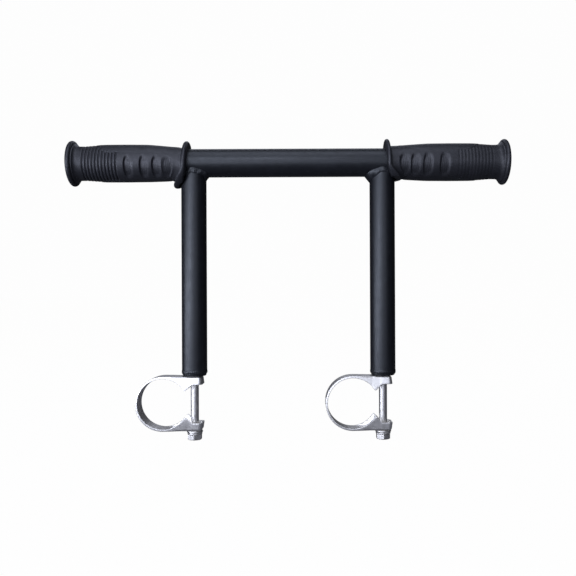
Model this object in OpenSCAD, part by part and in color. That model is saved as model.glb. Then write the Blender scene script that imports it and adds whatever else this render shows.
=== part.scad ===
// Clamp-on pull-up handlebar: a crossbar with two rubber grips, on two welded uprights.
// Each upright stands on a pressed-steel pipe clamp, and one bolt from below closes the
// clamp and holds it to the upright.
//
// Frame: the origin is the centre of the left clamp's pipe bore. +X runs along the crossbar,
// +Y along the clamped pipe, away from the front of the grips, and +Z up to the crossbar.

/* [Crossbar and uprights] */
// Outside diameter of the crossbar tube
bar_d = 28; // [26:0.5:30]
// Length of the crossbar tube
bar_len = 424; // [400:1:480]
// Outside diameter of the two upright tubes
upright_d = 25; // [24:0.5:26]
// Distance between the axes of the uprights
upright_span = 188; // [180:1:230]
// Height of the crossbar's axis above the bottom of the threaded feet
upright_h = 212; // [150:1:300]
// Wall thickness of the three tubes
tube_wall = 2; // [1.5:0.1:3]
// Leg of the weld bead between an upright and the crossbar
weld_leg = 1.8; // [1:0.1:2.5]

/* [Grips] */
// Diameter of the end flange of a grip
end_flange_d = 45; // [42:1:48]
// Diameter of the inner flange of a grip
inner_flange_d = 47; // [44:1:50]
// Largest diameter of the barrel
barrel_d = 37; // [35:0.5:39]
// Diameter of the barrel where it meets the flanges
neck_d = 34; // [32.5:0.5:35]
// Distance from the end of the grip to the middle of its inner flange
grip_len = 113; // [108:1:116]
// Lean of the inner flange, whose lower edge bears on the upright
flange_lean = 11; // [0:1:14]
// Number of grooves in the ribbed part
groove_count = 11; // [0:1:11]
// Distance from one groove to the next
groove_pitch = 3.3; // [3:0.1:3.6]
// Distances from the end of the grip to the middles of the finger recesses
recess_at = [64, 79.5, 92, 103]; // [58:0.5:106]
// Depth of a finger recess
recess_depth = 1.2; // [0.8:0.1:1.6]
// Turn of the grip about the crossbar, which brings the front recesses down
grip_turn = 20; // [0:1:30]

/* [Clamps] */
// Diameter of the pipe that the clamp takes
pipe_d = 50; // [48:0.5:52]
// Width of the strap along the pipe
strap_w = 20; // [18:0.5:24]
// Thickness of the strap
strap_t = 2; // [1.5:0.1:2.5]
// Distance from the pipe's axis to the bolt's axis
bolt_off = 30.5; // [30:0.5:34]
// Depth of the channel at the bolt, outside to edge
ear_depth = 8; // [6:0.5:9]
// Reach of the ear past the bolt's axis
ear_reach = 8.5; // [7.5:0.5:10]
// Angle of the cheek's tip above the pipe's centre line
tip_angle = 31; // [28:1:36]

/* [Fasteners] */
// Thread diameter of the clamp bolt
bolt_d = 8; // [6, 8]
// Length of the bolt under its head
bolt_len = 80; // [75:5:90]
// Width across the flats of the bolt's head
head_af = 13; // [10, 13]
// Height of the bolt's head
head_h = 5.3; // [5:0.1:6]

/* [Hidden] */
$fn = 96;

black_paint = [0.09, 0.09, 0.11];
black_rubber = [0.12, 0.12, 0.14];
zinc = [0.80, 0.81, 0.83];

pipe_r = pipe_d / 2;
strap_r = pipe_r + strap_t;
bar_r = bar_d / 2;
upright_r = upright_d / 2;
tube_bore_r = upright_r - tube_wall;

turn_gap = 0.2;     // between a clamp and the foot that it turns under
touch_gap = 0.02;   // between two pieces that are welded or pressed together
left_x = bolt_off;
right_x = bolt_off + upright_span;
middle_x = (left_x + right_x) / 2;
foot_z = strap_r + turn_gap;
bar_z = foot_z + upright_h;

// Threaded foot: a collar under the tube's end, and a spigot inside the tube
collar_h = 4;
collar_r = upright_r - 0.7;
spigot_h = 12;
thread_gap = 0.05;
tube_bottom_z = foot_z + collar_h;

// Grip: closed end, outer neck, barrel, inner neck, inner flange
end_wall = 6;
end_flange_t = 6.6;
inner_flange_t = 6;
first_groove = 15.8;
groove_depth = 0.9;
groove_half = 0.8;
barrel_from = 42;
barrel_to = 85.5;
taper_end = grip_len - 8;
recess_w = 9;
recess_len = 23;
upright_clearance = weld_leg + 0.4;

// Strap: the seam at the back stands for the spring of one continuous strap
seam = 0.2;
ear_corner_r = 4;
bolt_hole_r = bolt_d / 2 + 0.5;
slot_half = bolt_hole_r + 1.7;

// Stack under the lower jaw
ear_gap = 0.5;
washer_play = 0.2;
flat_washer_t = 1.6;
spring_washer_t = 2;
head_gap = 0.05;
flat_washer_top = -strap_r - ear_gap;
spring_washer_top = flat_washer_top - flat_washer_t;
head_top = spring_washer_top - spring_washer_t - head_gap;

// A tube along Z from z = 0
module tube(r, wall, h) {
    difference() {
        cylinder(r = r, h = h);
        translate([0, 0, -1]) cylinder(r = r - wall, h = h + 2);
    }
}

// The space that the crossbar fills, made wider by extra
module bar_space(extra) {
    translate([middle_x - bar_len / 2, 0, bar_z])
        rotate([0, 90, 0]) cylinder(r = bar_r + extra, h = bar_len);
}

module crossbar() {
    color(black_paint)
        translate([middle_x - bar_len / 2, 0, bar_z])
            rotate([0, 90, 0]) tube(bar_r, tube_wall, bar_len);
}

// Upright tube, its top coped to sit under the crossbar
module upright(x) {
    color(black_paint) difference() {
        translate([x, 0, tube_bottom_z]) tube(upright_r, tube_wall, bar_z - tube_bottom_z);
        bar_space(touch_gap);
    }
}

// Fillet weld round the coped joint
module top_weld(x) {
    bead_top = 4.5;
    bead_bottom = bar_r + weld_leg + 1;
    color(black_paint) difference() {
        intersection() {
            translate([x, 0, bar_z - bead_bottom])
                cylinder(r = upright_r + weld_leg, h = bead_bottom - bead_top);
            bar_space(weld_leg);
        }
        bar_space(touch_gap);
        translate([x, 0, tube_bottom_z]) cylinder(r = upright_r + touch_gap, h = upright_h);
    }
}

// Threaded foot that closes the upright and takes the clamp bolt
module threaded_foot(x) {
    color(black_paint) translate([x, 0, foot_z]) difference() {
        union() {
            cylinder(r = collar_r, h = collar_h - touch_gap);
            cylinder(r = tube_bore_r - touch_gap, h = collar_h + spigot_h);
        }
        translate([0, 0, -1]) cylinder(r = bolt_d / 2 + thread_gap, h = collar_h + spigot_h + 2);
        translate([0, 0, -touch_gap]) cylinder(r1 = bolt_d / 2 + 0.8, r2 = bolt_d / 2, h = 0.8);
    }
}

// Weld bead that fills the corner between the collar and the tube's end
module foot_weld(x) {
    bead_r = upright_r + 0.3;
    color(black_paint) translate([x, 0, foot_z]) rotate_extrude() polygon([
        [collar_r + touch_gap, collar_h - 2],
        [bead_r, collar_h - 1],
        [bead_r, collar_h + 0.6],
        [upright_r + touch_gap, collar_h + 1.4],
        [upright_r + touch_gap, collar_h - touch_gap],
        [collar_r + touch_gap, collar_h - touch_gap]
    ]);
}

// A disc with a half-round rim, its faces square to X and its middle at x = 0
module round_flange(d, t) {
    rim_r = t / 2;
    rotate([0, 90, 0]) rotate_extrude() union() {
        translate([d / 2 - rim_r, 0]) circle(r = rim_r);
        translate([0, -rim_r]) square([d / 2 - rim_r, t]);
    }
}

// Radius of the barrel's surface at distance u from the end of the grip
function barrel_radius(u) = lookup(u, [
    [first_groove - 2, neck_d / 2], [barrel_from, barrel_d / 2],
    [barrel_to, barrel_d / 2], [taper_end, neck_d / 2]
]);

// Half section of the grip's barrel: u along the grip from its end, v the radius
module barrel_section() {
    neck_r = neck_d / 2;
    barrel_r = barrel_d / 2;
    last_groove = first_groove + (groove_count - 1) * groove_pitch;
    difference() {
        polygon([
            [1, 0], [1, neck_r + 2], [end_flange_t, neck_r + 2], [end_flange_t + 4, neck_r],
            [first_groove - 2, neck_r], [barrel_from, barrel_r], [barrel_to, barrel_r],
            [taper_end, neck_r], [grip_len, neck_r], [grip_len, 0]
        ]);
        for (u = [first_groove : groove_pitch : last_groove + 0.01]) {
            top = barrel_radius(u) + 0.2;
            floor = barrel_radius(u) - groove_depth;
            polygon([
                [u - groove_half, top + 1], [u - groove_half, top], [u - groove_half / 2, floor],
                [u + groove_half / 2, floor], [u + groove_half, top], [u + groove_half, top + 1]
            ]);
        }
    }
}

// The space of one finger recess and its twin on the far side of the barrel
module finger_recess(u) {
    half_run = recess_len / 2 - recess_w / 2;
    translate([u, 0, 0]) difference() {
        rotate([90, 0, 0]) translate([0, 0, -barrel_d]) linear_extrude(height = 2 * barrel_d) {
            square([recess_w, 2 * half_run], center = true);
            for (side = [-1, 1]) translate([0, side * half_run]) circle(d = recess_w);
        }
        translate([-recess_w, 0, 0]) rotate([0, 90, 0])
            cylinder(r = barrel_radius(u) - recess_depth, h = 2 * recess_w);
    }
}

// Rubber grip pressed over the end of the crossbar; side is -1 at the left, 1 at the right
module grip(side) {
    upright_x = middle_x + side * upright_span / 2;
    end_x = middle_x + side * (bar_len / 2 + end_wall);
    color(black_rubber) difference() {
        translate([end_x, 0, bar_z]) mirror([side > 0 ? 1 : 0, 0, 0]) union() {
            difference() {
                rotate([0, 90, 0]) rotate_extrude() rotate(90) mirror([0, 1, 0]) barrel_section();
                rotate([grip_turn, 0, 0]) for (u = recess_at) finger_recess(u);
            }
            translate([end_flange_t / 2, 0, 0]) round_flange(end_flange_d, end_flange_t);
            translate([grip_len, 0, 0])
                rotate([0, flange_lean, 0]) round_flange(inner_flange_d, inner_flange_t);
        }
        bar_space(touch_gap);
        translate([upright_x, 0, bar_z - inner_flange_d])
            cylinder(r = upright_r + upright_clearance, h = inner_flange_d);
    }
}

// Outline of an ear seen along the bolt, drawn in by inset
module ear_outline(inset) {
    reach = bolt_off + ear_reach - inset;
    half_w = strap_w / 2 - inset;
    r = ear_corner_r - inset;
    translate([0, -half_w]) square([reach - r, 2 * half_w]);
    translate([0, r - half_w]) square([reach, 2 * (half_w - r)]);
    for (side = [-1, 1])
        translate([reach - r, side * (half_w - r)]) circle(r = r);
}

// Side view of a cheek: it follows the pipe to its tip, then climbs to the channel's edge
module cheek_side() {
    tip_x = pipe_r * cos(tip_angle);
    tip_z = pipe_r * sin(tip_angle);
    edge_z = strap_r - ear_depth;
    difference() {
        polygon([
            [0, 0], [tip_x, 0], [tip_x, tip_z], [tip_x + 1.2, tip_z],
            [tip_x + 1.2 + edge_z - tip_z, edge_z],
            [bolt_off + ear_reach, edge_z], [bolt_off + ear_reach, strap_r], [0, strap_r]
        ]);
        circle(r = pipe_r, $fn = 180);
    }
}

// One half of the strap, above the pipe: a quarter ring, and an ear pressed to a channel.
// The bolt passes through a slot that is 2 * half_slot long
module jaw(half_slot) {
    difference() {
        union() {
            rotate([90, 0, 0]) intersection() {
                translate([0, 0, -strap_w / 2]) difference() {
                    cylinder(r = strap_r, h = strap_w, $fn = 180);
                    translate([0, 0, -1]) cylinder(r = pipe_r, h = strap_w + 2, $fn = 180);
                }
                translate([-strap_r - 1, seam / 2, -strap_w])
                    cube([strap_r + 1, strap_r + 1, 2 * strap_w]);
            }
            intersection() {
                translate([0, strap_w / 2, 0])
                    rotate([90, 0, 0]) linear_extrude(height = strap_w) cheek_side();
                linear_extrude(height = strap_r) ear_outline(0);
                difference() {
                    translate([0, -strap_w, 0]) cube([2 * strap_r, 2 * strap_w, strap_r]);
                    translate([0, 0, -1]) linear_extrude(height = pipe_r + 1) ear_outline(strap_t);
                }
            }
        }
        for (side = [-1, 1])
            translate([bolt_off + side * (half_slot - bolt_hole_r), 0, 0])
                cylinder(r = bolt_hole_r, h = strap_r + 1);
        translate([bolt_off - half_slot + bolt_hole_r, -bolt_hole_r, 0])
            cube([2 * (half_slot - bolt_hole_r) + 0.001, 2 * bolt_hole_r, strap_r + 1]);
    }
}

module upper_jaw(x) {
    color(zinc) translate([x - bolt_off, 0, 0]) jaw(bolt_hole_r);
}

module lower_jaw(x) {
    color(zinc) translate([x - bolt_off, 0, 0]) mirror([0, 0, 1]) jaw(slot_half);
}

module flat_washer(x) {
    color(zinc) translate([x, 0, flat_washer_top - flat_washer_t])
        tube(bolt_d, bolt_d / 2 - washer_play, flat_washer_t);
}

// Spring washer, split on a slant
module spring_washer(x) {
    rim_r = bolt_d - 0.6;
    color(zinc) translate([x, 0, spring_washer_top - spring_washer_t]) difference() {
        tube(rim_r, rim_r - bolt_d / 2 - washer_play, spring_washer_t);
        translate([2, -rim_r, spring_washer_t / 2])
            rotate([0, 25, 0]) cube([1, bolt_d, 3 * spring_washer_t], center = true);
    }
}

// Hexagon-head bolt, head down, with a chamfered head and point
module bolt(x) {
    corner_r = head_af / 2 / cos(30);
    point = 1;
    color(zinc) translate([x, 0, head_top]) {
        intersection() {
            translate([0, 0, -head_h]) cylinder(r = corner_r, h = head_h, $fn = 6);
            translate([0, 0, -head_h])
                cylinder(r1 = head_af / 2 - 0.3, r2 = head_af / 2 - 0.3 + 2 * head_h, h = head_h);
        }
        cylinder(r = bolt_d / 2, h = bolt_len - point);
        translate([0, 0, bolt_len - point])
            cylinder(r1 = bolt_d / 2, r2 = bolt_d / 2 - point, h = point);
    }
}

crossbar();
grip(-1);  // left_grip
grip(1);  // right_grip
upright(left_x);  // left_upright
upright(right_x);  // right_upright
top_weld(left_x);  // left_top_weld
top_weld(right_x);  // right_top_weld
threaded_foot(left_x);  // left_threaded_foot
threaded_foot(right_x);  // right_threaded_foot
foot_weld(left_x);  // left_foot_weld
foot_weld(right_x);  // right_foot_weld
upper_jaw(left_x);  // left_upper_jaw
upper_jaw(right_x);  // right_upper_jaw
lower_jaw(left_x);  // left_lower_jaw
lower_jaw(right_x);  // right_lower_jaw
flat_washer(left_x);  // left_flat_washer
flat_washer(right_x);  // right_flat_washer
spring_washer(left_x);  // left_spring_washer
spring_washer(right_x);  // right_spring_washer
bolt(left_x);  // left_bolt
bolt(right_x);  // right_bolt
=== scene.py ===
import math

import bmesh
import bpy
import numpy as np
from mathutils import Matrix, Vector


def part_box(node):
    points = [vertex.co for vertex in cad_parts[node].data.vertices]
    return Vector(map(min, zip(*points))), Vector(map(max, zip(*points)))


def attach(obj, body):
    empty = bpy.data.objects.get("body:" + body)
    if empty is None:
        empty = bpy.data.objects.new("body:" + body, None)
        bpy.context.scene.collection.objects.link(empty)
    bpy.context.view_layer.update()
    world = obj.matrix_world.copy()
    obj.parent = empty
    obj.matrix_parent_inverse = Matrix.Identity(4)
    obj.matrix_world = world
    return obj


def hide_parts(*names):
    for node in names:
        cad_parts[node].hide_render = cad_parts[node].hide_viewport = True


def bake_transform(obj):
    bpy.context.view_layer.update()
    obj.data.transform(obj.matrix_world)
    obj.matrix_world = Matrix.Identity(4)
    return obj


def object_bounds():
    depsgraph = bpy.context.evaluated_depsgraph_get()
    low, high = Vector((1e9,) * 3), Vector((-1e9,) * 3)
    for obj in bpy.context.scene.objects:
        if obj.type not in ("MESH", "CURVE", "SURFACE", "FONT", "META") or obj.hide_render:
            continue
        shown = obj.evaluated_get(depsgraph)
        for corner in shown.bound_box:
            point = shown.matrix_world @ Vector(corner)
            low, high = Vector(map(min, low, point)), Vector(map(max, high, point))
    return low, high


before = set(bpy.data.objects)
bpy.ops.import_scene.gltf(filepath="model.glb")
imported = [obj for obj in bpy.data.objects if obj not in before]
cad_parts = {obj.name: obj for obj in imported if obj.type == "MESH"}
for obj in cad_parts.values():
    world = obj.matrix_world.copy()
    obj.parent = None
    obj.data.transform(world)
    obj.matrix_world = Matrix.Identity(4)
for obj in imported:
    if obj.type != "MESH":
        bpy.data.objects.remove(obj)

cad_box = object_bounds()

# ---------------------------------------------------------------------------------------
# Sizes. Lengths are in metres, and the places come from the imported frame.
# ---------------------------------------------------------------------------------------
MM = 0.001
SIDES = {"left": -1, "right": 1}
TURN = 2 * math.pi

bar_low, bar_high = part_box("crossbar")
BAR_Z = (bar_low.z + bar_high.z) / 2
BAR_R = (bar_high.z - bar_low.z) / 2
MIDDLE_X = (bar_low.x + bar_high.x) / 2
TUBE_WALL = 2 * MM
# gap left between pieces that touch
TOUCH_GAP = 0.02 * MM


def upright_place(side):
    """X of an upright's axis, its radius, and the height of its lower end."""
    low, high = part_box(f"{side}_upright")
    return (low.x + high.x) / 2, (high.x - low.x) / 2, low.z


def smoothstep(a, b, x):
    """0 up to a, 1 from b on, and a smooth rise between them."""
    t = np.clip((np.asarray(x, float) - a) / (b - a), 0, 1)
    return t * t * (3 - 2 * t)


def soft_max(a, b, k):
    """The larger of a and b, with the corner between them rounded over about k."""
    return (a + b + np.sqrt((a - b) ** 2 + k * k)) / 2


def soft_min(a, b, k):
    """The smaller of a and b, rounded in the same way."""
    return -soft_max(-a, -b, k)


def arc(centre, r, start, end, steps):
    """Points of an arc in a plane, angles in degrees, both ends included."""
    a = np.radians(np.linspace(start, end, steps + 1))
    return [(centre[0] + r * math.cos(t), centre[1] + r * math.sin(t)) for t in a]


# ---------------------------------------------------------------------------------------
# Mesh helpers
# ---------------------------------------------------------------------------------------
def mesh_object(name, verts, faces, sharp_angle=None):
    """An object with welded vertices, outward normals and smooth shading."""
    mesh = bpy.data.meshes.new(name)
    mesh.from_pydata([tuple(v) for v in verts], [], [tuple(int(i) for i in f) for f in faces])
    bm = bmesh.new()
    bm.from_mesh(mesh)
    bmesh.ops.remove_doubles(bm, verts=bm.verts, dist=2e-6)
    bmesh.ops.recalc_face_normals(bm, faces=bm.faces)
    bm.to_mesh(mesh)
    bm.free()
    mesh.shade_smooth()
    if sharp_angle:
        mesh.set_sharp_from_angle(angle=math.radians(sharp_angle))
    made = bpy.data.objects.new(name, mesh)
    bpy.context.scene.collection.objects.link(made)
    return made


def grid_faces(rows, columns, close_rows, close_columns):
    """Quads over a grid of points; a direction that closes joins its last line to its first."""
    i = np.arange(rows if close_rows else rows - 1)[:, None]
    j = np.arange(columns if close_columns else columns - 1)[None, :]
    i2, j2 = (i + 1) % rows, (j + 1) % columns
    quads = np.stack([i * columns + j, i * columns + j2, i2 * columns + j2, i2 * columns + j], -1)
    return quads.reshape(-1, 4)


def skin(name, points, close_rows=False, close_columns=True, sharp_angle=None):
    """A mesh over a grid of points, rows by columns. A row whose points are one point closes it."""
    points = np.asarray(points, float)
    rows, columns = points.shape[:2]
    faces = grid_faces(rows, columns, close_rows, close_columns)
    return mesh_object(name, points.reshape(-1, 3), faces, sharp_angle)


def lathe_points(profile, place, segments, axis="Z"):
    """A profile of (along, radius) points turned about an axis through place."""
    along, r = np.array(profile, float).T
    a = np.linspace(0, TURN, segments, endpoint=False)
    c, s = r[:, None] * np.cos(a), r[:, None] * np.sin(a)
    along = np.broadcast_to(along[:, None], c.shape)
    local = (c, s, along) if axis == "Z" else (along, s, c)
    return np.stack(local, -1) + np.array(place)


def dress(piece, slot, material, *nodes):
    """Gives a piece its material, and lets it stand for CAD nodes; the slot is not used."""
    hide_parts(*nodes)
    piece.data.materials.clear()
    piece.data.materials.append(material)


def finish_piece(piece, body, slot, material, *nodes):
    """Dresses a piece that rides on one body."""
    dress(piece, slot, material, *nodes)
    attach(piece, body)


# ---------------------------------------------------------------------------------------
# Materials
# ---------------------------------------------------------------------------------------
PAINT_DEEP = (0.0042, 0.0046, 0.0064)
PAINT_PALE = (0.0066, 0.0072, 0.0100)
PAINT_DUST = (0.016, 0.016, 0.019)
RUBBER_DEEP = (0.0070, 0.0075, 0.0098)
RUBBER_BLOOM = (0.012, 0.0125, 0.0162)
# colour of the shade painted into the rubber's grooves and inner corners
RUBBER_HOLLOW_SHADE = (0.002, 0.0022, 0.003)
RUBBER_WORN = (0.022, 0.023, 0.029)
STRAP_COLOUR = (0.98, 0.96, 0.92)
BOLT_COLOUR = (0.88, 0.86, 0.82)


class Finish:
    """A principled material and short ways to add the nodes that vary it."""

    def __init__(self, name, metallic=0.0, specular=0.5):
        self.material = bpy.data.materials.new(name)
        self.material.use_nodes = True
        self.tree = self.material.node_tree
        self.shader = self.tree.nodes["Principled BSDF"]
        self.shader.inputs["Metallic"].default_value = metallic
        self.shader.inputs["Specular IOR Level"].default_value = specular
        self.place = self.tree.nodes.new("ShaderNodeTexCoord").outputs["Object"]

    def link(self, a, b):
        self.tree.links.new(a, b)

    def stretched(self, scale):
        """Object coordinates, stretched by a factor for each axis."""
        node = self.tree.nodes.new("ShaderNodeMapping")
        node.inputs["Scale"].default_value = scale
        self.link(self.place, node.inputs["Vector"])
        return node.outputs["Vector"]

    def noise(self, size, detail, rough=0.55, stretch=(1, 1, 1)):
        """Noise whose features are about size metres across."""
        node = self.tree.nodes.new("ShaderNodeTexNoise")
        node.inputs["Scale"].default_value = 1 / size
        node.inputs["Detail"].default_value = detail
        node.inputs["Roughness"].default_value = rough
        self.link(self.stretched(stretch), node.inputs["Vector"])
        return node.outputs["Fac"]

    def ramp(self, value, stops):
        """A ramp over value between two stops, each (position, colour or grey)."""
        node = self.tree.nodes.new("ShaderNodeValToRGB")
        for mark, (at, colour) in zip(node.color_ramp.elements, stops):
            mark.position = at
            mark.color = (*colour, 1) if isinstance(colour, tuple) else (colour, colour, colour, 1)
        self.link(value, node.inputs["Fac"])
        return node.outputs["Color"]

    def mix(self, share, a, colour):
        """share and a are other nodes' outputs: a where share is 0, the plain colour where it is 1."""
        node = self.tree.nodes.new("ShaderNodeMix")
        # once the type is set, a name finds the socket of that type
        node.data_type = "RGBA"
        self.link(share, node.inputs["Factor"])
        self.link(a, node.inputs["A"])
        node.inputs["B"].default_value = (*colour, 1)
        return node.outputs["Result"]

    def bump(self, *layers):
        """Bump layers, each (height, depth in metres), one over the other."""
        normal = None
        for height, depth in layers:
            node = self.tree.nodes.new("ShaderNodeBump")
            node.inputs["Distance"].default_value = depth
            self.link(height, node.inputs["Height"])
            if normal is not None:
                self.link(normal, node.inputs["Normal"])
            normal = node.outputs["Normal"]
        self.link(normal, self.shader.inputs["Normal"])

    def edge_wear(self, low, high):
        """1 on convex edges, 0 on flat and hollow surfaces."""
        point = self.tree.nodes.new("ShaderNodeNewGeometry").outputs["Pointiness"]
        return self.ramp(point, [(low, 0.0), (high, 1.0)])

    def hollow(self):
        """Painted shade mask: 1 in grooves and inner corners, where shade is painted, 0 on flat and
        convex surfaces.
        """
        point = self.tree.nodes.new("ShaderNodeNewGeometry").outputs["Pointiness"]
        return self.ramp(point, [(0.36, 1.0), (0.48, 0.0)])


def black_paint(name, roughness, peel):
    """Satin black paint: slight mottling, fine dust, and orange peel of depth peel."""
    f = Finish(name, specular=0.54)
    f.shader.inputs["Specular Tint"].default_value = (0.90, 0.95, 1.0, 1)
    mottle = f.noise(9 * MM, detail=4)
    dust = f.noise(0.7 * MM, detail=2)
    base = f.ramp(mottle, [(0.3, PAINT_DEEP), (0.7, PAINT_PALE)])
    specks = f.ramp(dust, [(0.66, 0.0), (0.76, 1.0)])
    f.link(f.mix(specks, base, PAINT_DUST), f.shader.inputs["Base Color"])
    f.link(f.ramp(f.noise(5 * MM, detail=5), [(0.3, roughness - 0.05), (0.7, roughness + 0.06)]),
           f.shader.inputs["Roughness"])
    f.bump((f.noise(1.6 * MM, detail=2), peel), (f.noise(0.35 * MM, detail=1), 0.12 * peel))
    return f.material


def moulded_rubber():
    """Black rubber: fine grain, bloom in patches, painted shade in its hollows, and pale on its
    ridges.
    """
    f = Finish("moulded_rubber", specular=0.66)
    f.shader.inputs["Specular Tint"].default_value = (0.94, 0.95, 1.0, 1)
    bloom = f.noise(11 * MM, detail=5, rough=0.6)
    base = f.ramp(bloom, [(0.3, RUBBER_DEEP), (0.72, RUBBER_BLOOM)])
    # painted shade: the grooves and inner corners are darkened in the colour
    shaded = f.mix(f.hollow(), base, RUBBER_HOLLOW_SHADE)
    worn = f.edge_wear(0.51, 0.56)
    f.link(f.mix(worn, shaded, RUBBER_WORN), f.shader.inputs["Base Color"])
    handling = f.noise(3 * MM, detail=5)
    f.link(f.ramp(handling, [(0.3, 0.46), (0.7, 0.58)]), f.shader.inputs["Roughness"])
    f.bump((f.noise(0.5 * MM, detail=3), 0.05 * MM), (f.noise(4 * MM, detail=3), 0.10 * MM))
    return f.material


def zinc_plate(name, base, roughness, grain, dent):
    """Bright zinc plate on steel: rolled grain, cloudy passivation, pale edges. grain stretches
    the streaks along each axis, and dent is the depth of the surface's unevenness."""
    f = Finish(name, metallic=1.0)
    cloud = f.noise(7 * MM, detail=5, rough=0.6)
    dark = tuple(0.86 * c for c in base)
    colour = f.ramp(cloud, [(0.3, dark), (0.7, base)])
    bright = tuple(min(1.0, 1.08 * c) for c in base)
    f.link(f.mix(f.edge_wear(0.53, 0.62), colour, bright), f.shader.inputs["Base Color"])
    streaks = f.noise(1.1 * MM, detail=4, stretch=grain)
    f.link(f.ramp(streaks, [(0.25, roughness - 0.07), (0.75, roughness + 0.10)]),
           f.shader.inputs["Roughness"])
    f.bump((streaks, 0.3 * dent), (f.noise(2.5 * MM, detail=3), dent))
    return f.material


tube_paint = black_paint("tube_paint", 0.40, 0.035 * MM)
weld_paint = black_paint("weld_paint", 0.40, 0.07 * MM)
rubber = moulded_rubber()
strap_zinc = zinc_plate("strap_zinc", STRAP_COLOUR, 0.42, (0.25, 1, 1), 0.02 * MM)
bolt_zinc = zinc_plate("bolt_zinc", BOLT_COLOUR, 0.36, (1, 1, 0.25), 0.015 * MM)

# ---------------------------------------------------------------------------------------
# Crossbar and uprights
# ---------------------------------------------------------------------------------------
TUBE_SEGMENTS = 128


def saddle_z(y):
    """Height of the crossbar's lower surface at distance y in front of or behind its axis."""
    return BAR_Z - np.sqrt(np.maximum(BAR_R ** 2 - np.asarray(y) ** 2, 0))


def make_crossbar():
    """A tube with rounded edges at its ends."""
    round_r = 0.4 * MM
    inner = BAR_R - TUBE_WALL
    half = (bar_high.x - bar_low.x) / 2
    profile = [(-half, inner), (-half, BAR_R - round_r), (-half + round_r, BAR_R)]
    profile += [(x, BAR_R) for x in np.linspace(-half, half, 26)[1:-1]]
    profile += [(half - round_r, BAR_R), (half, BAR_R - round_r), (half, inner)]
    points = lathe_points(profile, (MIDDLE_X, 0, BAR_Z), TUBE_SEGMENTS, axis="X")
    bar = skin("crossbar_tube", points, close_rows=True, sharp_angle=40)
    finish_piece(bar, "bar", "black_tube", tube_paint, "crossbar")


def make_upright(side):
    """A tube whose upper end is coped to the crossbar."""
    x, r, bottom = upright_place(side)
    a = np.linspace(0, TURN, TUBE_SEGMENTS, endpoint=False)
    rows = []
    for radius, levels in ((r, np.linspace(0, 1, 16)), (r - TUBE_WALL, np.linspace(1, 0, 8))):
        top = saddle_z(radius * np.sin(a)) - TOUCH_GAP
        for t in levels:
            z = bottom + (top - bottom) * t
            rows.append(np.stack([x + radius * np.cos(a), radius * np.sin(a), z], -1))
    tube = skin(f"{side}_upright_tube", rows, close_rows=True, sharp_angle=40)
    finish_piece(tube, "bar", "black_tube", tube_paint, f"{side}_upright")


# ---------------------------------------------------------------------------------------
# Weld beads
# ---------------------------------------------------------------------------------------
BEAD_SEGMENTS = 240
RIPPLE_PITCH = 2.1 * MM
LUMP_PITCH = 5.6 * MM
# how far the ripples lag behind along the middle of the bead, in radians
RIPPLE_LAG = 1.4
# how far the top bead reaches, in mm: on the crossbar, and how much more it reaches beside the
# upright; on the upright, and how much more at its front and towards the middle of the bar
BAR_LEG = 0.4
BAR_LEG_BESIDE = 5.2
POST_LEG = 2.3
POST_LEG_FRONT = 3.4
POST_LEG_INNER = 4.5
# share of that extra reach which is left where the bead faces along the bar
END_SHARE = {"left": 0.35, "right": 0.95}
# the extra reach towards the middle of the bar begins where the cosine of the angle from there
# is this
INNER_FROM = {"left": 0.75, "right": 0.2}
# height of the bead's crown in mm, and how uneven it is
CROWN = 0.7
CROWN_UNEVEN = {"left": 1.1, "right": 0.3}
# start of the waves round each bead, so that no two beads are alike
TOP_PHASE = {"left": 0.6, "right": 2.9}
FOOT_PHASE = {"left": 4.4, "right": 1.3}
FOOT_RIPPLES = 19


def wave(a, phase):
    """A gentle irregular wave round the joint, between about -1 and 1."""
    slow = np.sin(3 * a + phase)
    middling = 0.7 * np.sin(7 * a + 2.3 * phase)
    quick = 0.5 * np.sin(13 * a + 4.1 * phase)
    return (slow + middling + quick) / 2.2


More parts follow.
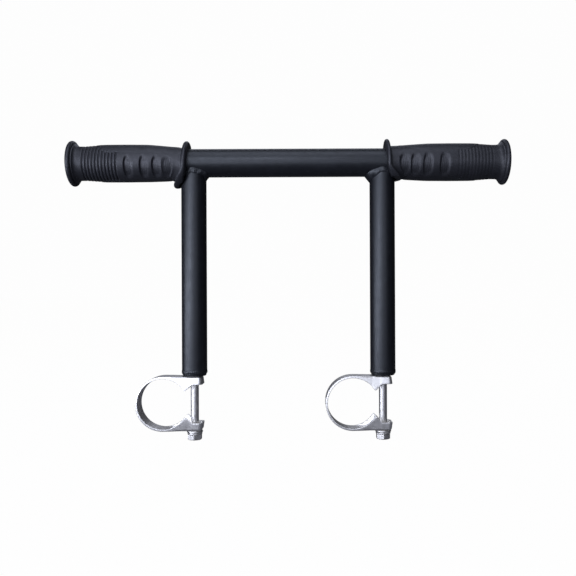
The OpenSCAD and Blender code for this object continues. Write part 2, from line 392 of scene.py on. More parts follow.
def make_top_weld(side):
    """Rippled fillet bead along the joint between an upright and the crossbar."""
    x, r, _ = upright_place(side)
    inward = -SIDES[side]
    a = np.linspace(0, TURN, BEAD_SEGMENTS, endpoint=False)
    phase = TOP_PHASE[side]
    # the joint on the unrolled crossbar: along is its X, round the arc from its lowest line
    bend = np.arcsin(np.clip(r * np.sin(a) / BAR_R, -1, 1))
    along, round_ = r * np.cos(a), BAR_R * bend
    d_along = -r * np.sin(a)
    d_round = r * np.cos(a) / np.cos(bend)
    speed = np.hypot(d_along, d_round)
    out_along, out_round = d_round / speed, -d_along / speed
    # 1 towards the middle of the bar, -1 towards the grip, where the flange leaves less room
    to_middle = np.cos(a) * inward
    along_bar = np.abs(np.cos(a))
    front = smoothstep(0.6, 1.0, -np.sin(a))
    inner_side = smoothstep(INNER_FROM[side], 1.0, to_middle)
    innermost = smoothstep(0.75, 1.0, to_middle)
    beside = smoothstep(0.12, 1.1, along_bar) * (0.75 + 0.25 * (0.5 + 0.5 * to_middle))
    beside *= 1 - (1 - END_SHARE[side]) * smoothstep(0.85, 1.0, along_bar)
    leg_bar = (BAR_LEG + BAR_LEG_BESIDE * beside + 0.25 * wave(a, phase)) * MM
    leg_inner = POST_LEG_INNER * END_SHARE[side] * inner_side
    leg_post = (POST_LEG + POST_LEG_FRONT * front + leg_inner + 0.5 * wave(a, phase + 1)) * MM

    def on_bar(distance, lift):
        px, arc_ = along + out_along * distance, round_ + out_round * distance
        angle = arc_ / BAR_R
        radius = BAR_R + lift
        return np.stack([x + px, radius * np.sin(angle), BAR_Z - radius * np.cos(angle)], -1)

    def on_post(distance, lift):
        radius = r + lift
        z = saddle_z(r * np.sin(a)) - distance
        return np.stack([x + radius * np.cos(a), radius * np.sin(a), z], -1)

    # the bead's toes are sunk a little into the tubes, and it bulges midway between their normals
    sunk = -0.25 * MM
    raised = 1 * MM + sunk
    toe_bar, toe_post = on_bar(leg_bar, sunk), on_post(leg_post, sunk)
    out = (on_bar(leg_bar, raised) - toe_bar) + (on_post(leg_post, raised) - toe_post)
    out /= np.linalg.norm(out, axis=1)[:, None]
    length = np.cumsum(speed) * (TURN / BEAD_SEGMENTS)
    ripples = np.round(length[-1] / RIPPLE_PITCH)
    root = on_post(-0.3 * MM, -0.8 * MM)
    rows = [root, toe_bar]
    for t in np.linspace(0, 1, 13)[1:-1]:
        # a little fuller than half a sine wave
        crown = math.sin(math.pi * t) ** 0.8
        lag = RIPPLE_LAG * (1 - (2 * t - 1) ** 2)
        scallop = np.abs(np.sin(math.pi * ripples * length / length[-1] - lag))
        lump = np.sin(TURN * length / LUMP_PITCH + phase + 2.2 * t)
        uneven = 0.25 * wave(a, phase + 2) + 0.14 * scallop + 0.2 * lump
        bulge = (CROWN + CROWN_UNEVEN[side] * uneven) * (1 - 0.9 * innermost) * MM
        rows.append(toe_bar + (toe_post - toe_bar) * t + out * (bulge * crown)[:, None])
    rows.append(toe_post)
    bead = skin(f"{side}_top_weld_bead", rows, close_rows=True)
    finish_piece(bead, "bar", "painted_weld", weld_paint, f"{side}_top_weld")


def make_foot_weld(side):
    """Uneven bead in the corner between an upright's lower end and the foot's collar."""
    x, r, bottom = upright_place(side)
    phase = FOOT_PHASE[side]
    a = np.linspace(0, TURN, BEAD_SEGMENTS, endpoint=False)
    ripple = np.abs(np.sin(a * FOOT_RIPPLES + phase))
    height = (2.2 + 0.5 * wave(a, phase)) * MM
    centre_z = bottom + (0.2 + 0.35 * wave(a, phase + 2)) * MM
    rows = []
    for t in np.linspace(0, 1, 15):
        angle = math.radians(-100 + 200 * t)
        bulge = 0.60 * MM + 0.16 * ripple * MM
        radius = r - 0.5 * MM + bulge * max(math.cos(angle), -0.2)
        z = centre_z + height * math.sin(angle)
        rows.append(np.stack([x + radius * np.cos(a), radius * np.sin(a), z], -1))
    inner = r - 0.9 * MM
    rows.append(np.stack([x + inner * np.cos(a), inner * np.sin(a), centre_z], -1))
    bead = skin(f"{side}_foot_weld_bead", rows, close_rows=True)
    finish_piece(bead, "bar", "painted_weld", weld_paint, f"{side}_foot_weld")


def make_foot(side):
    """Threaded foot: a collar with a worn lower corner, and a spigot inside the tube."""
    x, r, _ = upright_place(side)
    low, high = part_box(f"{side}_threaded_foot")
    collar_h = 4 * MM - TOUCH_GAP
    collar_r = (high.x - low.x) / 2
    spigot_r = r - TUBE_WALL - TOUCH_GAP
    foot_h = high.z - low.z
    bore = 4.05 * MM
    bevel = 0.8 * MM
    corner = 1.7 * MM
    profile = [(0, bore + bevel), (0, collar_r - corner)]
    profile += [(z, radius) for radius, z in arc((collar_r - corner, corner), corner, -80, 0, 7)]
    profile += [(collar_h, collar_r), (collar_h, spigot_r)]
    profile += [(foot_h, spigot_r), (foot_h, bore), (bevel, bore)]
    points = lathe_points(profile, (x, 0, low.z), 96)
    foot = skin(f"{side}_foot", points, close_rows=True, sharp_angle=35)
    finish_piece(foot, "bar", "black_tube", tube_paint, f"{side}_threaded_foot")


# ---------------------------------------------------------------------------------------
# Grips. u runs from a grip's closed end towards the middle of the bar. phi is the angle
# round the grip in its own frame: 0 is the middle of the front recesses, 90 degrees the top.
# ---------------------------------------------------------------------------------------
GRIP_COLUMNS = 192
# degrees by which each grip is turned about the bar, which brings its recesses below the front
GRIP_TURN = {"left": 23, "right": 19}
BORE_R = BAR_R + 0.03 * MM
BORE_END_U = 6.05 * MM

# end flange: radius and thickness of its rounded rim, and how far its face bulges outwards
END_R = 22.5 * MM
END_T = 4.8 * MM
END_DOME = {"left": 1.8 * MM, "right": 0.8 * MM}
# a shallow round groove in the end face, between these radii
END_GROOVE = (10 * MM, 13 * MM)
END_GROOVE_DEPTH = 0.35 * MM
# sharpness of the flare from the end flange down to the neck
FLARE_POWER = 5

NECK_U = 15 * MM
BARREL_END_U = 108 * MM
# the barrel's radius, in mm, at distances u from the closed end, in mm
BARREL_U = np.array([14.5, 21, 28, 36, 58, 80, 94, 106])
BARREL_R = np.array([16.8, 17.25, 17.8, 18.2, 18.3, 18.1, 17.3, 16.5])

GROOVES = 11
GROOVE_PITCH = 3.3 * MM
FIRST_GROOVE_U = 17.3 * MM
GROOVE_DEPTH = {"left": 1.1 * MM, "right": 0.15 * MM}
# half width of a groove in mm, where a little more than half of its depth is lost
GROOVE_WIDTH = {"left": 0.52, "right": 0.85}

# smooth leaves on the top and the bottom of the barrel, which open and close over these
# stretches of u, in mm; angles become lengths at LEAF_R
LEAF_R = 18 * MM
LEAF_HALF_ANGLE = math.radians(39)
LEAF_RISE = 0.28 * MM
LEAF_OPENS = (29, 42)
LEAF_CLOSES = (80, 109)

# middle and half length of each finger recess along u, in mm, and how far it is deeper at one
# end: 1 is fully at its left end as seen from the front, -1 fully at its right end
RECESSES = {
    "left": [(62.6, 5.0, 1), (78.0, 4.9, 1), (90.2, 5.1, 1), (99.6, 5.6, -0.3)],
    "right": [(64.0, 5.5, 0.2), (80.4, 5.2, 0.45), (92.4, 5.2, 0.8), (103.0, 5.8, 0.4)],
}
RECESS_R = 18.4 * MM
RECESS_HALF_ARC = 13.6 * MM
RECESS_DEPTH = 1.25 * MM
RECESS_TILT = 0.85
# 2 gives an ellipse, and more gives fuller corners
RECESS_POWER = 2.6

# inner flange: thickness, distance of its middle from the closed end, radius, lean, and how
# much it and the barrel beside it sit below the bar's axis
FLANGE_T = {"left": 4.6 * MM, "right": 3.8 * MM}
FLANGE_U = {"left": 116.8 * MM, "right": 118.8 * MM}
FLANGE_R = 23.3 * MM
FLANGE_LEAN = math.radians(2.5)
FLANGE_SAG = {"left": 1.7 * MM, "right": 0.3 * MM}
BARREL_SAG = {"left": 0.6 * MM, "right": 0.1 * MM}
# the upright folds the flange's lower edge outwards: by how much, from how many mm below the
# axis, down to how many, and the share of the fold that the flange's inner face takes
FOLD_BY = {"left": 7.2 * MM, "right": 12 * MM}
FOLD_FROM = {"left": 6, "right": 4}
FOLD_TO = 24
INNER_FOLD = 0.45
# what the flange reaches further below the axis than this keeps only SQUEEZE of its length
FLANGE_REACH_DOWN = {"left": 25 * MM, "right": 16.4 * MM}
SQUEEZE = 0.12
POST_CLEARANCE = 2.0 * MM
# stretches of u, in mm, over which the sag grows, the bore bends and the outside bends
SAG_SPAN = (75, 104)
BORE_SPAN = (108, 113)
OUTSIDE_SPAN = (101, 111)


def barrel_radius(u):
    """Radius of the barrel: it swells from its neck, and narrows again to the inner flange."""
    # the mean over a few millimetres rounds the corners between the straight stretches
    spread = np.linspace(-3, 3, 7) * MM
    return np.mean([np.interp(u + shift, BARREL_U * MM, BARREL_R * MM) for shift in spread], axis=0)


def leaf_half_angle(u):
    """Half width of the smooth leaf that runs along the top and the bottom of the barrel."""
    opening = np.sqrt(smoothstep(*LEAF_OPENS, u / MM))
    closing = np.sqrt(1 - smoothstep(*LEAF_CLOSES, u / MM))
    return LEAF_HALF_ANGLE * opening * closing


def barrel_relief(u, phi, side):
    """Height of the barrel's surface above its plain radius: leaves, grooves and recesses."""
    to_leaf = np.abs(np.abs((phi + math.pi) % TURN - math.pi) - math.pi / 2)
    half = leaf_half_angle(u)
    past_edge = (half - to_leaf) * LEAF_R
    leaf = smoothstep(-0.5, 0.7, past_edge / MM)
    crown = np.clip(1 - (to_leaf / np.maximum(half, 1e-3)) ** 2, 0, 1)
    edge_line = np.exp(-((past_edge / MM + 0.45) / 0.35) ** 2) * (half > 0.02)
    relief = leaf * LEAF_RISE * (0.55 + 0.45 * crown) - 0.16 * MM * edge_line

    step = (u - FIRST_GROOVE_U) / GROOVE_PITCH
    nearest = np.clip(np.round(step), 0, GROOVES - 1)
    off = (step - nearest) * GROOVE_PITCH / MM
    valley = np.exp(-(off / GROOVE_WIDTH[side]) ** 2) + 0.22 * np.exp(-(off / 1.1) ** 2)
    relief = relief - GROOVE_DEPTH[side] * valley * (1 - leaf)

    to_front = np.minimum(np.abs(phi), math.pi - np.abs(phi))
    across = to_front * RECESS_R / RECESS_HALF_ARC
    deepest = 0 * relief
    for middle, half_length, deep_end in RECESSES[side]:
        # -1 at the recess's left end as seen from the front, 1 at its right end
        along = (u / MM - middle) / half_length * -SIDES[side]
        reach = (np.abs(along) ** RECESS_POWER + across ** RECESS_POWER) ** (1 / RECESS_POWER)
        # the wall is steep at the deep end and runs out slowly at the other
        brow = 0.6 - 0.17 * np.clip(along, -1, 1) * np.sign(deep_end)
        dip = 1 - smoothstep(0, 1, (reach - brow) / (1.04 - brow))
        depth = RECESS_DEPTH * (1 - RECESS_TILT * deep_end * along)
        wrinkle = 0.06 * MM * np.sin((u / MM - middle) * 3.1 + 2.0 * np.cos(5 * phi + middle))
        deepest = np.maximum(deepest, dip * (depth + wrinkle))
    return relief - deepest


def grip_profile(side):
    """Section of a grip as (u, radius, on the barrel), from the middle of its end face over the
    outside to the inner flange, and back along the bore."""
    rim = END_T / 2
    face_r = END_R - rim
    rise = END_DOME[side]
    groove_from, groove_to = END_GROOVE

    def end_face(r):
        across = np.clip((r - groove_from) / (groove_to - groove_from), 0, 1)
        groove = END_GROOVE_DEPTH * math.sin(math.pi * across) ** 2
        return rise * (r / face_r) ** 2 + groove

    points = [(end_face(r), r) for r in np.linspace(0, groove_from - 0.4 * MM, 6)]
    points += [(end_face(r), r) for r in np.linspace(groove_from, groove_to, 11)]
    points += [(end_face(r), r) for r in np.linspace(groove_to + 1 * MM, face_r - 1 * MM, 4)]
    # a rounded lip, a crease behind it, and the flare down to the neck
    points += arc((rise + rim, face_r), rim, 160, -24, 26)
    neck = barrel_radius(NECK_U)
    start_u, start_r = rise + END_T + 0.7 * MM, face_r - 0.1 * MM
    points += [(start_u + (NECK_U - start_u) * t, neck + (start_r - neck) * (1 - t) ** FLARE_POWER)
               for t in np.linspace(0, 1, 18)[:-1]]
    plain = [(u, r, False) for u, r in points]
    barrel = [(u, float(barrel_radius(u)), True) for u in np.arange(NECK_U, BARREL_END_U, 0.4 * MM)]
    neck = float(barrel_radius(BARREL_END_U))
    middle, rim = FLANGE_U[side], FLANGE_T[side] / 2
    outer_face, inner_face = middle - rim, middle + rim
    fillet = 1.6 * MM
    tail = [(BARREL_END_U, neck), (BARREL_END_U + 1.4 * MM, neck)]
    tail += arc((outer_face - fillet, neck + fillet), fillet, -90, 0, 7)
    tail += arc((middle, FLANGE_R - rim), rim, 180, 0, 18)
    tail += [(inner_face, r) for r in np.linspace(FLANGE_R - rim, BORE_R + 0.8 * MM, 9)[1:]]
    tail += [(inner_face - 0.3 * MM, BORE_R + 0.2 * MM), (inner_face - 0.9 * MM, BORE_R)]
    tail += [(u * MM, BORE_R) for u in (108, 100, 60, 20)]
    tail += [(BORE_END_U, BORE_R), (BORE_END_U, 0)]
    return plain + barrel + [(u, r, False) for u, r in tail]


def make_grip(side):
    """A grip with its relief, turned on the bar, and its flange bent against the upright."""
    low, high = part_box(f"{side}_grip")
    toward_middle = -SIDES[side]
    end_x = low.x if side == "left" else high.x
    post_x, post_r, _ = upright_place(side)
    profile = grip_profile(side)
    u = np.array([p[0] for p in profile])[:, None]
    r = np.array([p[1] for p in profile])[:, None]
    on_barrel = np.array([p[2] for p in profile])[:, None]
    phi = np.linspace(-math.pi, math.pi, GRIP_COLUMNS, endpoint=False)[None, :]
    r = np.where(on_barrel, r + barrel_relief(u, phi, side), r + 0 * phi)
    u = u + 0 * phi
    angle = phi - math.radians(GRIP_TURN[side])
    y, z = -r * np.cos(angle), r * np.sin(angle)
    in_bore = r <= BORE_R + 0.01 * MM
    outside = np.where(in_bore, 0, 1)

    # the barrel sits a little low next to the inner flange, and so does the flange
    flange_u, flange_half = FLANGE_U[side], FLANGE_T[side] / 2
    at_flange = smoothstep(BARREL_END_U, flange_u - 3 * MM, u)
    barrel_sag = BARREL_SAG[side] * smoothstep(*SAG_SPAN, u / MM)
    z = z - outside * (barrel_sag + (FLANGE_SAG[side] - barrel_sag) * at_flange)
    bend = np.where(in_bore, smoothstep(*BORE_SPAN, u / MM), smoothstep(*OUTSIDE_SPAN, u / MM))
    reach = FLANGE_REACH_DOWN[side]
    squeezed = -reach + (z + reach) * SQUEEZE
    z = np.where(in_bore | (z > -reach), z, z + bend * (squeezed - z))

    # the flange leans a little, and its lower edge folds outwards where it bears on the upright
    fold = FOLD_BY[side] * smoothstep(FOLD_FROM[side], FOLD_TO, -z / MM)
    fold_share = outside * smoothstep(flange_u - 18 * MM, flange_u - 3 * MM, u)
    inner_face = smoothstep(-0.6, 0.9, (u - flange_u) / flange_half)
    fold_share = fold_share * (1 - (1 - INNER_FOLD) * inner_face)

    # what would still enter the upright is pushed back out of it
    clear = post_r + POST_CLEARANCE
    post_u = abs(post_x - end_x)
    nearest = post_u - np.sqrt(np.maximum(clear ** 2 - y ** 2, 0))
    # beside the upright there is no wall: a metre is further than any grip reaches
    wall = np.where(np.abs(y) < clear, nearest, 1.0)
    face = flange_u + flange_half + z * math.tan(FLANGE_LEAN) - fold * INNER_FOLD
    push = np.maximum(face - wall, 0) * smoothstep(6, 13, -z / MM)
    push = push * np.where(in_bore, 1, 0.35 + 0.65 * inner_face)
    u = u + bend * (z * math.tan(FLANGE_LEAN) - push) - fold_share * fold
    points = np.stack([end_x + toward_middle * u, y, BAR_Z + z], -1)
    grip = skin(f"{side}_rubber_grip", points)
    finish_piece(grip, "bar", "grip_rubber", rubber, f"{side}_grip")


# ---------------------------------------------------------------------------------------
# Clamp straps. Each is one pressed strip: a ring round the pipe, and at each end an ear
# with cheeks along its edges and a closed, rounded end.
# ---------------------------------------------------------------------------------------
STRAP_T = 2 * MM
PIPE_R = 25 * MM
RING_STEPS = 60
# height of the cheeks' edges along an ear, and where their slope up from the ring reaches it
EAR_EDGE_Z = 19 * MM
CHEEK_SLOPE_X = 28.75 * MM
EAR_CORNER_R = 4 * MM
# the lines of an ear's end meet this far back from it
EAR_HUB_BACK = 7.5 * MM
EDGE_ROUND = 0.4 * MM
# extra radius of the bend between an ear's face and its cheeks
EAR_BEND = 2.0 * MM
# the cheeks lean outwards, and start up to this much further in, so that they stay within the
# CAD: all of it where a cheek is FLARE_INSET_DEPTH deep
CHEEK_FLARE = math.tan(math.radians(8))
FLARE_INSET = 0.7 * MM
FLARE_INSET_DEPTH = 8 * MM
# the bolt passes a round hole in the upper ear and a slot in the lower one
HOLE_R = 4.5 * MM
SLOT_HALF = 6.2 * MM


def cheek_depth(x):
    """Depth of the cheek's edge below the strap's outer face, x along the ear."""
    pipe = np.sqrt(np.maximum(PIPE_R ** 2 - x ** 2, 0))
    slope = soft_min(EAR_EDGE_Z - (CHEEK_SLOPE_X - x), EAR_EDGE_Z, 0.8 * MM)
    return PIPE_R + STRAP_T - soft_max(pipe, slope, 1.6 * MM * smoothstep(8, 18, x / MM))


def strap_stations(reach, half_w):
    """Half of the strap's rim, from the ring's back over the upper ear to the middle of its end
    wall, as (spine point, rim point, outward direction, inward normal, depth, bend radius)."""
    outer = PIPE_R + STRAP_T
    stations = []
    for angle in np.radians(np.linspace(180, 90, RING_STEPS + 1)):
        normal = -np.array([math.cos(angle), 0, math.sin(angle)])
        spine = -outer * normal
        out = np.array([0, -1.0, 0])
        stations.append((spine, spine + half_w * out, out, normal, STRAP_T, EDGE_ROUND))
    down = np.array([0, 0, -1.0])
    hub_x = reach - EAR_HUB_BACK
    straight_end = reach - EAR_CORNER_R
    for x in np.linspace(0, straight_end, 56)[1:]:
        spine = np.array([min(x, hub_x), 0, outer])
        out = np.array([0, -1.0, 0])
        rim = np.array([x, -half_w, outer])
        bend = EDGE_ROUND + EAR_BEND * smoothstep(2, 17, x / MM)
        stations.append((spine, rim, out, down, float(cheek_depth(x)), float(bend)))
    hub = np.array([hub_x, 0, outer])
    depth = outer - EAR_EDGE_Z
    for angle in np.radians(np.linspace(-90, 0, 9)[1:]):
        out = np.array([math.cos(angle), math.sin(angle), 0])
        centre = np.array([straight_end, -(half_w - EAR_CORNER_R), outer])
        stations.append((hub, centre + EAR_CORNER_R * out, out, down, depth, EDGE_ROUND + EAR_BEND))
    for y in np.linspace(-(half_w - EAR_CORNER_R), 0, 4)[1:]:
        out = np.array([1.0, 0, 0])
        stations.append((hub, np.array([reach, y, outer]), out, down, depth, EDGE_ROUND + EAR_BEND))
    return stations


def strap_section(spine, rim, out, normal, depth, bend):
    """The half section at one station: outer face, bend, cheek, its edge, and back inside."""
    def at(back, down):
        inset = FLARE_INSET * min(max(depth - bend, 0) / FLARE_INSET_DEPTH, 1)
        flare = CHEEK_FLARE * max(down - bend, 0) - inset
        return rim - out * (back - flare) + normal * down

    wall = max(depth - STRAP_T, 0)
    inner_bend = min(max(bend - STRAP_T, 0.5 * MM), wall * 0.5)
    inner_edge = min(EDGE_ROUND, wall * 0.5)
    # each point is (distance in from the rim, distance down from the outer face)
    outline = [(bend + 0.35 * MM, 0)]
    outline += arc((bend, bend), bend, -90, -180, 6)
    outline += [(0, bend + (depth - EDGE_ROUND - bend) * t) for t in (0.35, 0.7)]
    outline += arc((EDGE_ROUND, depth - EDGE_ROUND), EDGE_ROUND, 180, 90, 3)
    outline += arc((STRAP_T - inner_edge, depth - inner_edge), inner_edge, 90, 0, 3)
    outline += arc((STRAP_T + inner_bend, STRAP_T + inner_bend), inner_bend, 180, 270, 3)
    outline += [(STRAP_T + inner_bend + 0.4 * MM, STRAP_T)]
    return [spine] + [at(back, down) for back, down in outline] + [spine + normal * STRAP_T]


def slot_cutter(x, half_length, z):
    """A short vertical prism with round ends, to cut a hole or a slot."""
    shift = half_length - HOLE_R
    outline = arc((x + shift, 0), HOLE_R, -90, 90, 20) + arc((x - shift, 0), HOLE_R, 90, 270, 20)
    bottom, top = z - 4 * MM, z + 4 * MM
    walls = [[(px, py, level) for px, py in outline] for level in (bottom, top)]
    floor_centre = [(x, 0, bottom)] * len(outline)
    roof_centre = [(x, 0, top)] * len(outline)
    return skin("cutter", [floor_centre] + walls + [roof_centre])


def cut(piece, cutters):
    """Cuts solids out of a piece, and leaves it a plain mesh."""
    for cutter in cutters:
        tool = piece.modifiers.new("cut", "BOOLEAN")
        tool.object = cutter
        tool.solver = "EXACT"
    bpy.context.view_layer.update()
    shaped = piece.evaluated_get(bpy.context.evaluated_depsgraph_get())
    mesh = bpy.data.meshes.new_from_object(shaped)
    piece.modifiers.clear()
    piece.data = mesh
    for cutter in cutters:
        bpy.data.objects.remove(cutter)


def make_strap(side):
    """One strap, mirrored from a quarter of it, which stands for both the upper and the lower jaw."""
    upper, lower = f"{side}_upper_jaw", f"{side}_lower_jaw"
    low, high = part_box(upper)
    half_w = (high.y - low.y) / 2
    bolt_x = upright_place(side)[0]
    shift = low.x + PIPE_R + STRAP_T
    reach = high.x - shift
    quarter = [strap_section(*s) for s in strap_stations(reach, half_w)]
    near_up = np.array(quarter)
    mirror_y, mirror_z = np.array([1, -1, 1]), np.array([1, 1, -1])
    far_up = near_up[::-1] * mirror_y
    far_down = near_up * mirror_y * mirror_z
    near_down = near_up[::-1] * mirror_z
    loop = np.concatenate([near_up, far_up[1:], far_down[1:], near_down[1:-1]])
    loop = loop + np.array([shift, 0, 0])
    strap = skin(f"{side}_clamp_strap", loop, close_rows=True, close_columns=False)
    web = PIPE_R + STRAP_T / 2
    cut(strap, [slot_cutter(bolt_x, HOLE_R, web), slot_cutter(bolt_x, SLOT_HALF, -web)])
    strap.data.shade_smooth()
    strap.data.set_sharp_from_angle(angle=math.radians(38))
    dress(strap, "clamp_strap", strap_zinc, upper, lower)
    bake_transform(strap)


# ---------------------------------------------------------------------------------------
# Fasteners
# ---------------------------------------------------------------------------------------
THREAD_PITCH = 1.25 * MM
THREAD_LENGTH = 23 * MM
THREAD_DEPTH = 0.55 * MM
HEAD_FLATS = 13 * MM
HEAD_H = 5.3 * MM
SHANK_R = 4 * MM
# the head's end is chamfered: it rises this much over a step outwards of this length
CHAMFER_H = 0.87 * MM
CHAMFER_W = 1.5 * MM
WASHER_HOLE_R = 4.2 * MM
SPRING_WASHER_R = 7.4 * MM


def make_bolt(side):
    """Hexagon bolt, head down: chamfered head, washer face, plain shank and rolled thread."""
    x = upright_place(side)[0]
    low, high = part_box(f"{side}_bolt")
    columns = 72
    a = np.linspace(0, TURN, columns, endpoint=False)
    side_angle = (a + math.pi / 6) % (math.pi / 3) - math.pi / 6
    hexagon = HEAD_FLATS / 2 / np.cos(side_angle)
    flat_r = HEAD_FLATS / 2 * 0.94
    z0, under = low.z, low.z + HEAD_H

    def ring(radius, z):
        radius = np.broadcast_to(radius, a.shape)
        z = np.broadcast_to(z, a.shape)
        return np.stack([x + radius * np.cos(a), radius * np.sin(a), z], -1)

    rows = [ring(0, z0 + 0.25 * MM), ring(flat_r * 0.55, z0 + 0.25 * MM), ring(flat_r * 0.8, z0)]
    for rise in np.linspace(0, 1, 9):
        rows.append(ring(np.minimum(flat_r + rise * CHAMFER_W, hexagon), z0 + rise * CHAMFER_H))
    rows += [ring(hexagon, z) for z in np.linspace(z0 + 1.2 * MM, under - 0.45 * MM, 4)]
    rows += [ring(hexagon - 0.12 * MM, under - 0.3 * MM), ring(flat_r, under - 0.3 * MM)]
    rows += [ring(flat_r - 0.1 * MM, under), ring(SHANK_R + 0.3 * MM, under)]
    rows += [ring(SHANK_R, under + 0.3 * MM)]
    thread_start, point = high.z - THREAD_LENGTH, high.z - 1 * MM
    rows += [ring(SHANK_R, z) for z in np.linspace(under + 1 * MM, thread_start - 0.2 * MM, 12)]
    for z in np.arange(thread_start, point, THREAD_PITCH / 9):
        turn = (z / THREAD_PITCH - a / TURN) % 1
        groove = np.clip(1 - np.abs(turn - 0.5) / 0.42, 0, 1)
        fade = smoothstep(0, 1, (z - thread_start) / (2 * MM))
        rows.append(ring(SHANK_R - THREAD_DEPTH * groove * fade, z))
    rows += [ring(SHANK_R - 0.62 * MM, point + 0.1 * MM), ring(SHANK_R - 1 * MM, high.z)]
    rows += [ring(0, high.z)]
    bolt = skin(f"{side}_hex_bolt", rows, sharp_angle=28)
    finish_piece(bolt, f"{side}_bolt", "fastener_zinc", bolt_zinc, f"{side}_bolt")


def make_flat_washer(side):
    """Punched washer: one face rounded over at its rim, the other sharp."""
    x = upright_place(side)[0]
    low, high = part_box(f"{side}_flat_washer")
    outer, inner, t = (high.x - low.x) / 2, WASHER_HOLE_R, high.z - low.z
    big, small = 0.55 * MM, 0.15 * MM
    profile = [(z, r) for r, z in arc((outer - big, big), big, -90, 0, 6)]
    profile += [(z, r) for r, z in arc((outer - small, t - small), small, 0, 90, 3)]
    profile += [(t, inner + small), (t - small, inner), (big, inner), (0.1 * MM, inner + 0.35 * MM)]
    points = lathe_points(profile, (x, 0, low.z), 96)
    washer = skin(f"{side}_punched_washer", points, close_rows=True, sharp_angle=35)
    finish_piece(washer, f"{side}_washers", "fastener_zinc", bolt_zinc, f"{side}_flat_washer")


def make_spring_washer(side):
    """Square-section ring, split on a slant."""
    x = upright_place(side)[0]
    low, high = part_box(f"{side}_spring_washer")
    outer, inner, t = SPRING_WASHER_R, WASHER_HOLE_R, high.z - low.z
    bevel = 0.25 * MM
    section = [(outer, bevel), (outer, t - bevel), (outer - bevel, t), (inner + bevel, t),
               (inner, t - bevel), (inner, bevel), (inner + bevel, 0), (outer - bevel, 0)]
    gap = math.radians(5)
    rows = []
    for share in np.linspace(0, 1, 90):
        ring = []
        for r, z in section:
            slant = 0.30 * (z / t - 0.5)
            angle = gap + (TURN - 2 * gap) * share + slant
            ring.append((x + r * math.cos(angle), r * math.sin(angle), low.z + z))
        rows.append(ring)
    middle_first, middle_last = np.mean(rows[0], axis=0), np.mean(rows[-1], axis=0)
    rows = [[middle_first] * len(section)] + rows + [[middle_last] * len(section)]
    washer = skin(f"{side}_split_washer", rows, sharp_angle=35)
    finish_piece(washer, f"{side}_washers", "fastener_zinc", bolt_zinc, f"{side}_spring_washer")


make_crossbar()
for side in SIDES:
    make_upright(side)
    make_top_weld(side)
    make_foot(side)
    make_foot_weld(side)
    make_grip(side)
    make_strap(side)
    make_bolt(side)
    make_flat_washer(side)
    make_spring_washer(side)


# ---------------------------------------------------------------------------------------
# Stage, lights and camera
# ---------------------------------------------------------------------------------------
# the floor lies just below the object
FLOOR_Z = cad_box[0].z - 0.5 * MM
FLOOR_HALF = 40.0
# brightness of the floor and of the background as the camera sees them
PALE = 0.985
# strength of the dim room that the object reflects, and the colour of all its lights
AMBIENT = 0.035
WINDOW = (0.90, 0.95, 1.13)
LIGHT_TARGET = Vector((MIDDLE_X, 0, 0.12))
# each light's name, place, width and height, and power in watts
LIGHTS = [
    ("key", (-0.68, -1.14, 0.23), (0.6, 0.36), 5.6),
    ("left", (-1.09, -0.70, 0.23), (0.6, 0.36), 1.8),
    ("low_left", (-0.82, -0.45, 0.02), (0.8, 0.11), 3.2),
    ("front", (-0.12, -1.38, 0.23), (0.6, 0.36), 2.0),
    ("low_front", (-0.40, -1.30, 0.02), (0.8, 0.11), 0.75),
    ("high_front", (-0.09, -1.19, 0.83), (0.6, 0.5), 4.6),
    ("overhead", (0.06, -0.45, 1.45), (1.0, 1.0), 5.4),
    ("right", (0.60, -1.31, 0.23), (0.6, 0.36), 1.2),
    ("back", (0.14, 1.30, 1.30), (1.2, 0.8), 3.2),
]
CAMERA_PLACE = (0.139, -0.670, 0.105)
CAMERA_ROLL = math.radians(0.25)
LENS = 41.9
SHIFT = (-0.026, 0.016)


def pale_to_camera(tree, seen, unseen):
    """A shader that shows `seen` to the camera and `unseen` to reflections and bounced light."""
    path = tree.nodes.new("ShaderNodeLightPath")
    mixed = tree.nodes.new("ShaderNodeMixShader")
    tree.links.new(path.outputs["Is Camera Ray"], mixed.inputs[0])
    tree.links.new(unseen, mixed.inputs[1])
    tree.links.new(seen, mixed.inputs[2])
    return mixed.outputs[0]


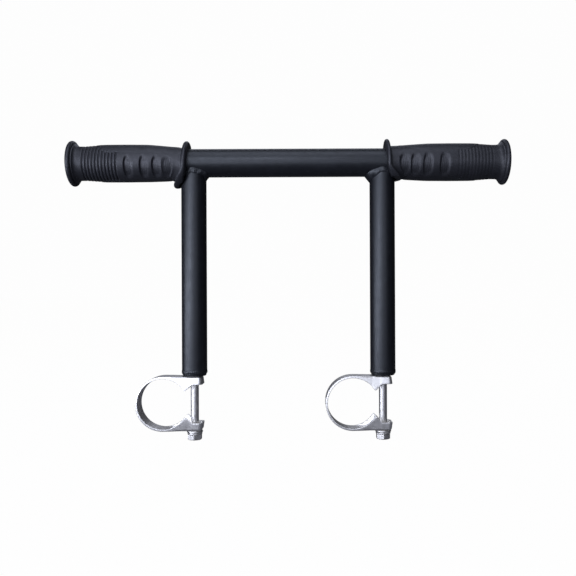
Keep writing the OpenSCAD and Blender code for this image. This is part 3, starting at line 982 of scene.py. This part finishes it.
def make_floor():
    """A wide floor, which looks pale to the camera and stays dull in reflections."""
    square = ((-1, -1), (1, -1), (1, 1), (-1, 1))
    corners = [(x * FLOOR_HALF, y * FLOOR_HALF, FLOOR_Z) for x, y in square]
    floor = mesh_object("floor", corners, [(0, 1, 2, 3)])
    material = bpy.data.materials.new("pale_floor")
    material.use_nodes = True
    tree = material.node_tree
    tree.nodes.clear()
    glow = tree.nodes.new("ShaderNodeEmission")
    glow.inputs["Strength"].default_value = PALE
    matt = tree.nodes.new("ShaderNodeBsdfDiffuse")
    matt.inputs["Color"].default_value = (0.01, 0.01, 0.01, 1)
    both = tree.nodes.new("ShaderNodeAddShader")
    tree.links.new(glow.outputs[0], both.inputs[0])
    tree.links.new(matt.outputs[0], both.inputs[1])
    dull = tree.nodes.new("ShaderNodeBsdfDiffuse")
    dull.inputs["Color"].default_value = (0.18, 0.18, 0.19, 1)
    out = tree.nodes.new("ShaderNodeOutputMaterial")
    tree.links.new(pale_to_camera(tree, both.outputs[0], dull.outputs[0]), out.inputs["Surface"])
    floor.data.materials.append(material)


def make_world():
    """A pale background for the camera, and a dim room for everything else."""
    world = bpy.data.worlds.new("studio")
    bpy.context.scene.world = world
    world.use_nodes = True
    tree = world.node_tree
    tree.nodes.clear()
    white = tree.nodes.new("ShaderNodeBackground")
    white.inputs["Strength"].default_value = PALE
    white.inputs["Color"].default_value = (1, 1, 1, 1)
    room = tree.nodes.new("ShaderNodeBackground")
    room.inputs["Color"].default_value = (0.93, 0.95, 1.0, 1)
    room.inputs["Strength"].default_value = AMBIENT
    out = tree.nodes.new("ShaderNodeOutputWorld")
    tree.links.new(pale_to_camera(tree, white.outputs[0], room.outputs[0]), out.inputs["Surface"])


def area_light(name, place, size, power):
    """A soft window of light, turned towards the middle of the object."""
    data = bpy.data.lights.new(name, "AREA")
    data.shape = "RECTANGLE"
    data.size, data.size_y = size
    data.energy = power
    data.color = WINDOW
    light = bpy.data.objects.new(name, data)
    bpy.context.scene.collection.objects.link(light)
    light.location = place
    light.rotation_euler = (LIGHT_TARGET - Vector(place)).to_track_quat("-Z", "Y").to_euler()
    light.visible_camera = False


def make_camera():
    """The camera stands at about half the object's height and looks level along the pipes."""
    data = bpy.data.cameras.new("camera")
    data.lens, data.sensor_width = LENS, 36
    data.shift_x, data.shift_y = SHIFT
    data.clip_start, data.clip_end = 0.01, 200
    camera = bpy.data.objects.new("camera", data)
    bpy.context.scene.collection.objects.link(camera)
    camera.location = CAMERA_PLACE
    camera.rotation_euler = (math.radians(90), CAMERA_ROLL, 0)
    bpy.context.scene.camera = camera


make_floor()
make_world()
for light in LIGHTS:
    area_light(*light)
make_camera()
bpy.context.scene.view_settings.view_transform = "Standard"
